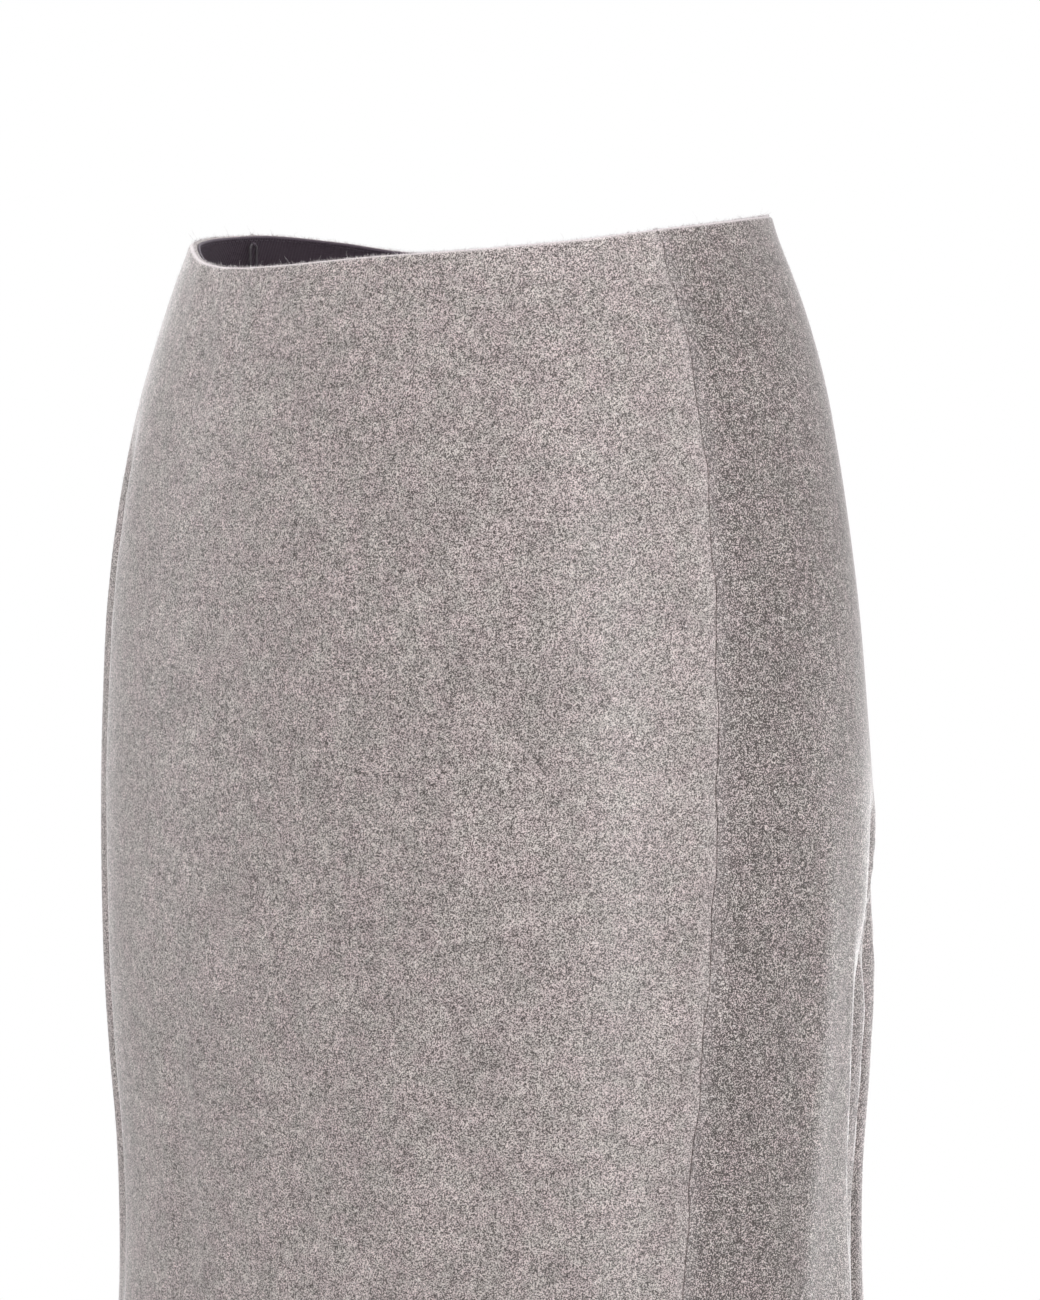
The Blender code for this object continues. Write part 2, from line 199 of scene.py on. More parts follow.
def places_across(length, first_turning, last_turning, count, crowding=1.0):
    """Distances across a panel from edge to edge, with count of them between its two edges' own."""
    first = edge_places(first_turning)
    last = length - edge_places(last_turning)[::-1]
    share = np.linspace(0, 1, count + 2)[1:-1] ** crowding
    return np.concatenate((first, first[-1] + (last[0] - first[-1]) * share, last))


def outward(grid):
    """The outward direction at each point of a grid that runs down and then round by bearing."""
    normal = np.cross(np.gradient(grid, axis=0), np.gradient(grid, axis=1))
    return normal / np.linalg.norm(normal, axis=-1, keepdims=True)


def straight_in(normal):
    """The level move that goes a unit's distance in through a slanting cloth."""
    level = normal * (1.0, 1.0, 0.0)
    return level / (level * level).sum(axis=-1, keepdims=True)


def bearing_of(points):
    return np.degrees(np.arctan2(points[..., 0], -points[..., 1]))


def soft_step(share):
    share = np.clip(share, 0, 1)
    return share * share * (3 - 2 * share)


def bell(away):
    return 0.5 + 0.5 * np.cos(math.pi * np.clip(away, -1, 1))


def crisp_hollow(away):
    """A hollow with a rounder floor and firmer sides than a bell's."""
    return np.clip(1 - away * away, 0, 1) ** 1.4


def fold_depth(points):
    """How far the folds take the cloth in at each point."""
    bearing = bearing_of(points)
    level = points[..., 2]
    depth = np.zeros_like(level)
    for folds, profile in ((CRISP_FOLDS, crisp_hollow), (SOFT_FOLDS, bell)):
        for top, foot, half_width, start, deepest, end, most in folds:
            line = top + (foot - top) * np.clip((start - level) / (start - end), 0, 1)
            away = (bearing - line + 180) % 360 - 180
            going_in = (start - level) / (start - deepest)
            coming_out = (level - end) / (deepest - end)
            grown = soft_step(np.where(level > deepest, going_in, coming_out))
            depth += most * grown * profile(away / half_width)
    return depth


def crest_share(outer, normal):
    """How far each point stands out along a fold's crest, from 0 to 1. A highlight is painted on the crests
    there.
    """
    around = (np.roll(outer, CREST_REACH, axis=1) + np.roll(outer, -CREST_REACH, axis=1)) / 2
    height = ((outer - around) * normal).sum(axis=-1)
    height[:, :CREST_REACH] = 0.0
    height[:, -CREST_REACH:] = 0.0
    low, high = CREST_HEIGHTS
    return soft_step((height - low) / (high - low))


def wave(place, waves):
    """The sum of some waves, each with its length, height and start."""
    return sum(height * np.sin(math.tau * place / length + start) for length, height, start in waves)


def rolled_in(distance, radius):
    """How far a rounded edge of the given radius lies in, at a distance from the edge."""
    short = np.clip(radius - distance, 0, radius)
    return radius - np.sqrt(radius * radius - short * short)


def turned_layer(distance, turning, layer):
    """The thickness that a turned layer adds at a distance from its fold."""
    return layer * (1 - soft_step((distance - turning + RAW_EDGE) / RAW_EDGE))


def cloth_panel(name, node, middle, columns, zip_side, finish):
    """A panel's closed wall. zip_side is centre back's side: 1 the last column, -1 the first, 0 neither."""
    coarse = wall_rows(node, middle)
    known = chord_places(coarse)
    drops = places_across(known[-1], WAIST_TURNING, HEM_TURNING, PANEL_ROWS, ROW_CROWDING)
    fine = []
    from_first = []
    from_last = []
    for row in read_between(coarse, known, drops):
        places = chord_places(row)
        wanted = places_across(places[-1], SEAM_TURNING, SEAM_TURNING, columns)
        fine.append(read_between(row, places, wanted))
        from_first.append(wanted)
        from_last.append(places[-1] - wanted)
    outer = np.array(fine)
    from_first = np.array(from_first)
    from_last = np.array(from_last)
    drop = np.repeat(drops[:, None], outer.shape[1], axis=1)
    from_seam = np.minimum(from_first, from_last)

    near_seam = bell(from_seam / PUCKER_REACH)
    pucker = wave(drop, PUCKERS) * np.exp(-drop / PUCKER_FADE) * near_seam
    aside = wave(outer[..., 2], SEAM_WANDER) * near_seam * soft_step(drop / WANDER_START)
    aside += SEAM_CLOSE * (bell(from_last / SEAM_BITE) - bell(from_first / SEAM_BITE))
    bearing = np.radians(bearing_of(outer))
    round_about = np.stack((np.cos(bearing), np.sin(bearing), np.zeros_like(bearing)), axis=-1)
    outer = outer + round_about * aside[..., None]
    outer = outer - outward(outer) * fold_depth(outer)[..., None]
    normal = outward(outer)

    from_hem = drops[-1] - drop
    layers = [
        turned_layer(drop, WAIST_TURNING, WAIST_LAYER),
        turned_layer(from_hem, HEM_TURNING, HEM_LAYER),
    ]
    for sign, distance in ((-1, from_first), (1, from_last)):
        pressed_open = turned_layer(distance, SEAM_TURNING, SEAM_LAYER)
        if sign == zip_side:
            pressed_open = np.where(drop > ZIP_FOOT, pressed_open, 0.0)
        layers.append(pressed_open)
    thickness = FLANNEL + np.maximum.reduce(layers)
    folded = rolled_in(np.minimum(drop, from_hem), FOLD_ROUND)
    inner = outer - straight_in(normal) * (thickness - folded)[..., None]
    sunk = np.maximum(folded, rolled_in(from_seam, SEAM_ROUND)) + pucker
    outer = outer - straight_in(normal) * sunk[..., None]
    piece = closed_wall(name, outer, inner, finish)
    # Paler nap where the hem is rubbed and the seams pressed, and a painted highlight along the waist edge
    # and the folds' crests.
    wear_and_highlight = np.maximum.reduce(
        [
            bell(drop / EDGE_HIGHLIGHT_AND_WEAR_REACH),
            HEM_WEAR * bell(from_hem / EDGE_HIGHLIGHT_AND_WEAR_REACH),
            SEAM_WEAR * bell(from_seam / PRESSED_REACH),
            CREST_HIGHLIGHT * crest_share(outer, normal),
        ]
    )
    wear_and_highlight_share = piece.data.attributes.new("wear_and_highlight", "FLOAT", "POINT")
    wear_and_highlight_share.data.foreach_set("value", np.append(wear_and_highlight, INNER_WEAR_AND_HIGHLIGHT * wear_and_highlight))
    CLOTH[name] = (outer, inner, normal)
    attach(piece, "skirt")
    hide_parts(node)
    return piece


def closed_wall(name, outer, inner, finish):
    """A closed mesh between two grids of points."""
    rows, columns = outer.shape[:2]
    o = np.arange(rows * columns).reshape(rows, columns)
    i = o + rows * columns
    sides = (
        (o[:-1, :-1], o[1:, :-1], o[1:, 1:], o[:-1, 1:]),
        (i[:-1, :-1], i[:-1, 1:], i[1:, 1:], i[1:, :-1]),
        (o[0, :-1], o[0, 1:], i[0, 1:], i[0, :-1]),
        (o[-1, 1:], o[-1, :-1], i[-1, :-1], i[-1, 1:]),
        (o[1:, 0], o[:-1, 0], i[:-1, 0], i[1:, 0]),
        (o[:-1, -1], o[1:, -1], i[1:, -1], i[:-1, -1]),
    )
    faces = np.concatenate([np.stack([corner.ravel() for corner in side], axis=1) for side in sides])
    points = np.concatenate((outer.reshape(-1, 3), inner.reshape(-1, 3)))
    return add_piece(name, points, faces.tolist(), finish)


def placed(name, mesh, finish):
    """A smooth piece in the scene, with its finish."""
    mesh.shade_smooth()
    mesh.materials.append(finish)
    piece = bpy.data.objects.new(name, mesh)
    bpy.context.scene.collection.objects.link(piece)
    return piece


def add_piece(name, points, faces, finish):
    mesh = bpy.data.meshes.new(name)
    mesh.from_pydata([tuple(point) for point in points], [], faces)
    return placed(name, mesh, finish)


def new_finish(name):
    """A material with its node tree and shader."""
    finish = bpy.data.materials.new(name)
    finish.use_nodes = True
    return finish, finish.node_tree, finish.node_tree.nodes["Principled BSDF"]


def add_node(tree, kind, inputs=(), **settings):
    """A shader node. Its inputs are given by name or number, as values or as other nodes' outputs."""
    node = tree.nodes.new("ShaderNode" + kind)
    for setting, value in settings.items():
        setattr(node, setting, value)
    for socket, value in dict(inputs).items():
        if isinstance(value, bpy.types.NodeSocket):
            tree.links.new(value, node.inputs[socket])
        else:
            node.inputs[socket].default_value = value
    return node


def maths(tree, operation, *values):
    return add_node(tree, "Math", dict(enumerate(values)), operation=operation).outputs[0]


def spread_out(tree, value, low, high):
    """A value's range from low to high, drawn out to 0 to 1."""
    inputs = {"Value": value, "From Min": low, "From Max": high}
    return add_node(tree, "MapRange", inputs).outputs[0]


def mixed(tree, share, first, second, blend="MIX"):
    """Two colours mixed, or blended another way, by a share."""
    node = tree.nodes.new("ShaderNodeMix")
    node.data_type = "RGBA"
    node.blend_type = blend
    for socket, value in ((0, share), (6, first), (7, second)):
        if isinstance(value, bpy.types.NodeSocket):
            tree.links.new(value, node.inputs[socket])
        else:
            node.inputs[socket].default_value = value
    return node.outputs[2]


def object_places(tree):
    return add_node(tree, "TexCoord").outputs["Object"]


def cloth_places(tree, radius=0.16):
    """Coordinates on the cloth: X round the body, Y through the cloth and Z up, in metres."""
    place = object_places(tree)
    x, y, z = add_node(tree, "SeparateXYZ", {0: place}).outputs
    bearing = maths(tree, "ARCTAN2", x, maths(tree, "MULTIPLY", y, -1.0))
    out = add_node(tree, "VectorMath", {0: place}, operation="LENGTH").outputs["Value"]
    along = maths(tree, "MULTIPLY", bearing, radius)
    return add_node(tree, "CombineXYZ", {0: along, 1: out, 2: z}).outputs[0]


def noise(tree, places, scale, detail=2.0, roughness=0.6):
    inputs = {"Vector": places, "Scale": scale, "Detail": detail, "Roughness": roughness}
    return add_node(tree, "TexNoise", inputs).outputs["Fac"]


def mapped(tree, places, way, values):
    return add_node(tree, "Mapping", {"Vector": places, way: values}).outputs[0]


def fibre_noise(tree, places, lean, scale, stretch):
    """Noise drawn out into short fibres that lean at an angle from upright."""
    turned = mapped(tree, places, "Rotation", (0, math.radians(lean), 0))
    return noise(tree, mapped(tree, turned, "Scale", (1, 1, 1 / stretch)), scale)


def weighed(tree, *parts):
    """The sum of (value, weight) parts."""
    total = 0.0
    for value, weight in parts:
        total = maths(tree, "MULTIPLY_ADD", value, weight, total)
    return total


def relief(tree, shader, strength, distance, height):
    """Fine relief that the mesh is too coarse for."""
    bump = add_node(tree, "Bump", {"Strength": strength, "Distance": distance, "Height": height})
    tree.links.new(bump.outputs[0], shader.inputs["Normal"])


def melange_flannel(name, tone, grain_range):
    """Brushed wool of light and dark fibres, spun and woven together.

    The tone is how light a piece hangs. The grain's range sets how many pale flecks it has, and how sharp.
    """
    finish, tree, shader = new_finish(name)
    solid = object_places(tree)
    places = cloth_places(tree)
    flecks = noise(tree, solid, FLECK_SCALE, 1.0, 0.8)
    tufts = noise(tree, solid, TUFT_SCALE)
    left_fibres = fibre_noise(tree, places, *LEFT_FIBRES)
    right_fibres = fibre_noise(tree, places, *RIGHT_FIBRES)
    crossed = ((left_fibres, FIBRE_SHARE), (right_fibres, FIBRE_SHARE))
    grain = weighed(tree, (flecks, FLECK_SHARE), *crossed, (tufts, TUFT_SHARE))
    colour = mixed(tree, spread_out(tree, grain, *grain_range), DARK_WOOL, PALE_WOOL)

    clouds = weighed(tree, *[(noise(tree, solid, scale), weight) for scale, weight in CLOUDS])
    low_tone, high_tone = ((tone * share,) * 3 + (1,) for share in CLOUD_TONES)
    shade = mixed(tree, spread_out(tree, clouds, 0.34, 0.66), low_tone, high_tone)
    colour = mixed(tree, 1.0, colour, shade, "MULTIPLY")
    patches = noise(tree, solid, TINT_SCALE, 3.0)
    tint = mixed(tree, spread_out(tree, patches, 0.38, 0.62), ROSE_TINT, MOSS_TINT)
    colour = mixed(tree, 1.0, colour, tint, "MULTIPLY")

    pale_hairs = fibre_noise(tree, places, *PALE_HAIRS)
    colour = mixed(tree, spread_out(tree, pale_hairs, *PALE_HAIR_RANGE), colour, PALE_HAIR)
    dark_hairs = fibre_noise(tree, places, *DARK_HAIRS)
    colour = mixed(tree, spread_out(tree, dark_hairs, *DARK_HAIR_RANGE), colour, DARK_HAIR)
    # Paler where the hem is rubbed and the seams pressed; along the waist edge and the crests this paler
    # colour is a painted highlight.
    wear_and_highlight = add_node(tree, "Attribute", attribute_name="wear_and_highlight").outputs["Fac"]
    colour = mixed(tree, maths(tree, "MULTIPLY", wear_and_highlight, WEAR_AND_HIGHLIGHT_MOST), colour, WEAR_AND_HIGHLIGHT_WOOL)
    tree.links.new(colour, shader.inputs["Base Color"])

    relief(tree, shader, 0.5, 0.00022, grain)
    shader.inputs["Roughness"].default_value = 0.38
    shader.inputs["Specular IOR Level"].default_value = 0.8
    shader.inputs["Sheen Weight"].default_value = 0.7
    shader.inputs["Sheen Roughness"].default_value = 0.18
    shader.inputs["Sheen Tint"].default_value = (1.0, 0.955, 0.965, 1)
    return finish


DARK_WOOL = (0.068, 0.052, 0.048, 1)
PALE_WOOL = (0.80, 0.715, 0.70, 1)
# the paler colour of rubbed and pressed nap, also used as a painted highlight on the waist edge and crests
WEAR_AND_HIGHLIGHT_WOOL = (0.93, 0.84, 0.86, 1)
WEAR_AND_HIGHLIGHT_MOST = 0.85
PALE_HAIR = (0.86, 0.81, 0.80, 1)
DARK_HAIR = (0.05, 0.043, 0.043, 1)
ROSE_TINT = (1.035, 0.985, 1.0, 1)
MOSS_TINT = (0.99, 1.005, 0.985, 1)
TINT_SCALE = 105.0
FLECK_SCALE = 1850.0
FLECK_SHARE = 0.52
TUFT_SCALE = 430.0
TUFT_SHARE = 0.12
FIBRE_SHARE = 0.18
LEFT_FIBRES = (34.0, 2100.0, 3.0)  # how far they lean from upright, their scale and how long they are for it
RIGHT_FIBRES = (-27.0, 1900.0, 4.0)
PALE_HAIRS = (61.0, 1100.0, 6.0)
DARK_HAIRS = (-52.0, 1100.0, 6.0)
PALE_HAIR_RANGE = (0.66, 0.74)  # the higher it starts, the fewer hairs show
DARK_HAIR_RANGE = (0.66, 0.73)
CLOUDS = ((230.0, 0.40), (85.0, 0.35), (26.0, 0.25))  # the scale and the weight of each size of cloud
CLOUD_TONES = (0.80, 1.20)
FRONT_TONE = 0.96
FRONT_GRAIN = (0.445, 0.567)

CLOTH = {}  # each panel's outer points, inner points and outward directions, for the pieces that lie on it
ZIP_FOOT = 0.215  # the drop at which the zip ends and the centre back seam begins

front_finish = melange_flannel("melange_flannel", FRONT_TONE, FRONT_GRAIN)
front = cloth_panel("front_panel_cloth", "front_panel", 0.0, FRONT_COLUMNS, 0, front_finish)


# ------------------------------------------------------------------------------ Back panels
# The same flannel in two halves, sewn to the front at the side seams and to each other at centre back, below
# the concealed zip. The seams are plain, pressed open, and pull the cloth into small puckers near the waist.

BACK_COLUMNS = 125
BACK_TONE = 0.89  # the back panels' flannel is darker than the front's, with fewer pale flecks
BACK_GRAIN = (0.489, 0.559)
BACK_MIDDLES = (("left", 128.0, 1), ("right", -128.0, -1))  # a panel's bearing, and centre back's side of it

back_finish = melange_flannel("melange_flannel_back", BACK_TONE, BACK_GRAIN)
for side_name, middle, zip_side in BACK_MIDDLES:
    node = f"back_panel_{side_name}"
    back = cloth_panel(f"back_{side_name}_cloth", node, middle, BACK_COLUMNS, zip_side, back_finish)


# ------------------------------------------------------------------------------ Raised fibres
# Loose ends of wool that stand up from the turned waist edge, and the raised nap over the rest of the cloth.
# They are the flannel's own fibres, a few hundredths of a millimetre thick.

EDGE_FIBRES = 5200
EDGE_FIBRE_LENGTHS = (0.0003, 0.0009)
LONG_FIBRE_SHARE = 0.014
LONG_FIBRE_LENGTHS = (0.0016, 0.0034)
EDGE_FIBRE_RADIUS = 0.00004
EDGE_CURL = 0.32
EDGE_SPLAY = 0.3
EDGE_LEAN = (-0.7, 0.9)  # inwards and outwards
NAP_FIBRES = 9000
NAP_LENGTHS = (0.0006, 0.0016)
NAP_RADIUS = 0.00003
NAP_CURL = 0.25
NAP_SPLAY = 0.8
NAP_LIFT = 0.45  # how far the nap stands out, for each length that it lies down
NAP_MARGIN = (2, 6)  # rows and columns at the panels' edges that have none
HAIR_STEPS = 4
HAIR_TAPER = np.array((1.0, 1.0, 0.85, 0.4))
HAIR_WAVE = 0.4
HAIR_SIDES = 3
OFF_AXIS = np.array((0.31, 0.94, 0.13))  # a direction that no thread runs in


def thin_tubes(name, paths, radii, sides, finish):
    """Many closed tubes in one mesh, one along each path. radii has a value for each point of each path."""
    along = np.gradient(paths, axis=1)
    along /= np.linalg.norm(along, axis=-1, keepdims=True)
    across = np.cross(along, OFF_AXIS)
    across /= np.linalg.norm(across, axis=-1, keepdims=True)
    other = np.cross(along, across)
    angles = (np.arange(sides) * math.tau / sides)[:, None]
    ring = np.cos(angles) * across[:, :, None] + np.sin(angles) * other[:, :, None]
    points = paths[:, :, None] + radii[:, :, None, None] * ring
    count, steps = paths.shape[:2]
    index = np.arange(count * steps * sides).reshape(count, steps, sides)
    after = np.roll(index, -1, axis=2)
    quads = np.stack((index[:, :-1], after[:, :-1], after[:, 1:], index[:, 1:]), axis=-1).reshape(-1, 4)
    caps = np.concatenate((index[:, 0, ::-1], index[:, -1]))
    return add_piece(name, points.reshape(-1, 3), quads.tolist() + caps.tolist(), finish)


def spread_ways(count, spread, draws):
    return np.array([[draws.gauss(0, spread) for _ in range(3)] for _ in range(count)])


def wool_hairs(roots, directions, lengths, curl, draws):
    """Curved paths of loose fibres from their roots."""
    steps = np.linspace(0, 1, HAIR_STEPS)[None, :, None]
    bent = spread_ways(len(roots), 1, draws)[:, None] * steps**2
    waved = spread_ways(len(roots), 1, draws)[:, None] * np.sin(steps * math.pi) * HAIR_WAVE
    return roots[:, None] + lengths[:, None, None] * (directions[:, None] * steps + curl * (bent + waved))


def hair_lengths(count, limits, draws):
    low, high = limits
    return np.array([low + (high - low) * draws.random() ** 2 for _ in range(count)])


def hair_piece(name, paths, radius):
    radii = np.repeat(radius * HAIR_TAPER[None], len(paths), axis=0)
    return thin_tubes(name, paths, radii, HAIR_SIDES, WOOL_FINISH)


def fibres_on(outer, count):
    """A panel's share of all the fibres, by its columns."""
    return round(count * (outer.shape[1] / sum(wall[0].shape[1] for wall in CLOTH.values())))


def loose_wool():
    """Single pale and dark fibres, paler than the cloth's own: their near white is a painted highlight for
    light shining through them.
    """
    finish, tree, shader = new_finish("loose_wool")
    share = spread_out(tree, noise(tree, object_places(tree), 480.0, 1.0, 0.5), 0.38, 0.55)
    colour = mixed(tree, share, (0.62, 0.57, 0.57, 1), (0.95, 0.91, 0.92, 1))
    tree.links.new(colour, shader.inputs["Base Color"])
    shader.inputs["Roughness"].default_value = 0.6
    shader.inputs["Sheen Weight"].default_value = 0.4
    return finish


WOOL_FINISH = loose_wool()
draws = random.Random(11)
roots = []
directions = []
for outer, inner, normal in CLOTH.values():
    for _ in range(fibres_on(outer, EDGE_FIBRES)):
        column = draws.randrange(outer.shape[1] - 1)
        across_edge = draws.random()
        edge = outer[0, column:column + 2] * (1 - across_edge) + inner[0, column:column + 2] * across_edge
        along_edge = draws.random()
        roots.append(edge[0] * (1 - along_edge) + edge[1] * along_edge)
        lean = normal[0, column] * draws.uniform(*EDGE_LEAN)
        directions.append(lean + np.array((draws.gauss(0, EDGE_SPLAY), draws.gauss(0, EDGE_SPLAY), 1.0)))
lengths = hair_lengths(len(roots), EDGE_FIBRE_LENGTHS, draws)
long_ones = np.array([draws.random() < LONG_FIBRE_SHARE for _ in lengths])
lengths = np.where(long_ones, hair_lengths(len(lengths), LONG_FIBRE_LENGTHS, draws), lengths)
paths = wool_hairs(np.array(roots), np.array(directions), lengths, EDGE_CURL, draws)
edge_fuzz = hair_piece("waist_edge_fuzz", paths, EDGE_FIBRE_RADIUS)

roots = []
directions = []
top_rows, side_columns = NAP_MARGIN
for outer, inner, normal in CLOTH.values():
    for _ in range(fibres_on(outer, NAP_FIBRES)):
        row = draws.randrange(top_rows, outer.shape[0] - top_rows)
        column = draws.randrange(side_columns, outer.shape[1] - side_columns)
        shift = draws.random()
        roots.append(outer[row, column] * (1 - shift) + outer[row + 1, column + 1] * shift)
        out = normal[row, column]
        lean = np.array([draws.gauss(0, NAP_SPLAY) for _ in range(3)])
        directions.append(out * NAP_LIFT + lean - out * lean.dot(out))
lengths = hair_lengths(len(roots), NAP_LENGTHS, draws)
paths = wool_hairs(np.array(roots), np.array(directions), lengths, NAP_CURL, draws)
nap = hair_piece("raised_nap", paths, NAP_RADIUS)

for piece in (edge_fuzz, nap):
    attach(piece, "skirt")


# ------------------------------------------------------------------------------ Waist facing
# A 30 mm black grosgrain ribbon: a warp of fine threads over a thick weft, which makes upright ribs 1.5 mm
# apart. It lies inside the turned waist edge, flush with the top, and is sewn along it with black thread.

RIB_PITCH = 0.0015
RIB_HEIGHT = 0.00024
POINTS_PER_RIB = 4
RIBBON_BODY = 0.00058
RIBBON_DROP = 0.0003  # how far below the fold the ribbon's top lies
RIBBON_EDGE = 0.0004  # the rounding of its edges
SELVEDGE = 0.0013
SELVEDGE_LIFT = 0.00018
SELVEDGE_PLACES = np.array((0.0, 0.0002, 0.0005, 0.0009, 0.0013, 0.0016, 0.0024))
STITCH_LENGTH = 0.0026
STITCH_GAP = 0.0006
STITCH_DROP = 0.0022
STITCH_SIDES = 5
THREAD = 0.00016
INK_THREADS = ((0.067, 0.046, 0.064, 1), (0.144, 0.106, 0.140, 1))
INK_WORN = (0.115, 0.086, 0.112, 1)


def black_grosgrain():
    finish, tree, shader = new_finish("black_grosgrain_weave")
    places = cloth_places(tree, 0.115)
    weave = noise(tree, mapped(tree, places, "Scale", (1.0, 1.0, 9.0)), 380.0)
    wear_and_highlight_share = noise(tree, places, 70.0, 2.0, 0.5)
    colour = mixed(tree, spread_out(tree, weave, 0.35, 0.65), *INK_THREADS)
    colour = mixed(tree, spread_out(tree, wear_and_highlight_share, 0.3, 0.7), colour, INK_WORN)
    tree.links.new(colour, shader.inputs["Base Color"])
    relief(tree, shader, 0.4, 0.00012, weave)
    shader.inputs["Roughness"].default_value = 0.55
    shader.inputs["Specular IOR Level"].default_value = 0.35
    shader.inputs["Sheen Weight"].default_value = 0.25
    shader.inputs["Sheen Tint"].default_value = (0.86, 0.82, 0.92, 1)
    return finish


def thread_paths(line, normals, starts, length, shares, lifts):
    """Threads along a line from each start: their points at shares of a stitch, lifted off the cloth."""
    places = chord_places(line)
    wanted = (starts[:, None] + length * shares[None]).ravel()
    points = read_between(line, places, wanted).reshape(len(starts), len(shares), 3)
    out = read_between(normals, places, wanted).reshape(len(starts), len(shares), 3)
    return points + out * lifts[None, :, None]


def row_of_stitches(line, normals, length, gap):
    """Short thread paths along a line, each lifted in its middle and sunk at its ends."""
    starts = np.arange(gap, chord_places(line)[-1] - length, length + gap)
    shares = np.array((0.0, 0.12, 0.5, 0.88, 1.0))
    lifts = np.array((-0.6, 0.6, 1.0, 0.6, -0.6)) * THREAD
    return thread_paths(line, normals, starts, length, shares, lifts)


def thread_piece(name, paths, finish, thickness=THREAD, sides=STITCH_SIDES):
    return thin_tubes(name, paths, np.full(paths.shape[:2], thickness), sides, finish)


GROSGRAIN_FINISH = black_grosgrain()
coarse = wall_rows("waist_facing", 0.0)
known = chord_places(coarse)
width = known[-1]
between = np.linspace(SELVEDGE_PLACES[-1], width - SELVEDGE_PLACES[-1], 5)[1:-1]
across_ribbon = np.concatenate((SELVEDGE_PLACES, between, width - SELVEDGE_PLACES[::-1]))
facing_rows = read_between(coarse, known, across_ribbon + RIBBON_DROP)
rib_points = round(chord_places(facing_rows[0])[-1] / RIB_PITCH) * POINTS_PER_RIB
back_of_ribbon = []
for row in facing_rows:
    places = chord_places(row)
    back_of_ribbon.append(read_between(row, places, np.linspace(0, places[-1], rib_points + 1)))
back_of_ribbon = np.array(back_of_ribbon)
facing_normal = outward(back_of_ribbon)
from_selvedge = np.minimum(across_ribbon, width - across_ribbon)[:, None]
ribs = 0.5 + 0.5 * np.cos(math.tau * np.arange(rib_points + 1) / POINTS_PER_RIB)
ribbon = RIBBON_BODY + RIB_HEIGHT * ribs * soft_step(from_selvedge / SELVEDGE + 0.25)
ribbon += SELVEDGE_LIFT * bell((from_selvedge - SELVEDGE * 0.5) / (SELVEDGE * 0.5))
ribbon -= rolled_in(from_selvedge, RIBBON_EDGE)
face_of_ribbon = back_of_ribbon - facing_normal * ribbon[..., None]
facing = closed_wall("waist_facing_ribbon", back_of_ribbon, face_of_ribbon, GROSGRAIN_FINISH)
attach(facing, "skirt")
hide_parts("waist_facing")

row = int(np.abs(across_ribbon + RIBBON_DROP - STITCH_DROP).argmin())
stitches = row_of_stitches(face_of_ribbon[row], -facing_normal[row], STITCH_LENGTH, STITCH_GAP)
facing_stitches = thread_piece("facing_stitches", stitches, GROSGRAIN_FINISH)
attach(facing_stitches, "skirt")


# ------------------------------------------------------------------------------ Hanger loops
# Narrow tubular ribbon, a little over a millimetre thick, bent round into an arch. Each is tacked to the
# facing at a side seam by a few turns of thread over its arch, and hangs down inside.

LOOP_BAND = 0.0012
LOOP_FLATNESS = 0.84  # the ribbon's depth for its width
LOOP_SPAN = 0.0055
LOOP_WAIST = 0.35  # how far the two sides draw together half way down
LOOP_FACING = 1.4  # the waist is an oval, so the loop faces further to the front or back than its place does
LOOP_SIDES = 12
ARCH_POINTS = 13
SIDE_POINTS = 12
TACK_TURNS = 5
TACK_POINTS = 7
TACK_THREAD = THREAD * 0.8
UP = np.array((0.0, 0.0, 1.0))


def satin_ribbon():
    finish, tree, shader = new_finish("black_satin_tube")
    drawn = mapped(tree, object_places(tree), "Scale", (1.0, 1.0, 0.08))
    threads = noise(tree, drawn, 5200.0, 1.0, 0.5)
    dark_thread, pale_thread = (0.034, 0.026, 0.033, 1), (0.115, 0.098, 0.114, 1)
    colour = mixed(tree, spread_out(tree, threads, 0.35, 0.65), dark_thread, pale_thread)
    tree.links.new(colour, shader.inputs["Base Color"])
    relief(tree, shader, 0.35, 0.0001, threads)
    shader.inputs["Roughness"].default_value = 0.36
    shader.inputs["Specular IOR Level"].default_value = 0.6
    shader.inputs["Sheen Weight"].default_value = 0.2
    return finish


def ring_tube(name, path, width_ways, depth_way, finish):
    """The loop's ribbon: a tube of oval section round a closed path."""
    angles = np.arange(LOOP_SIDES) * math.tau / LOOP_SIDES
    across = np.cos(angles)[None, :, None] * width_ways[:, None, :]
    through = np.sin(angles)[None, :, None] * depth_way * LOOP_FLATNESS
    points = path[:, None, :] + (across + through) * LOOP_BAND / 2
    index = np.arange(len(path) * LOOP_SIDES).reshape(len(path), LOOP_SIDES)
    next_ring = np.roll(index, -1, axis=0)
    after = np.roll(index, -1, axis=1)
    next_after = np.roll(next_ring, -1, axis=1)
    quads = np.stack((index, next_ring, next_after, after), axis=-1).reshape(-1, 4)
    return add_piece(name, points.reshape(-1, 3), quads.tolist(), finish)


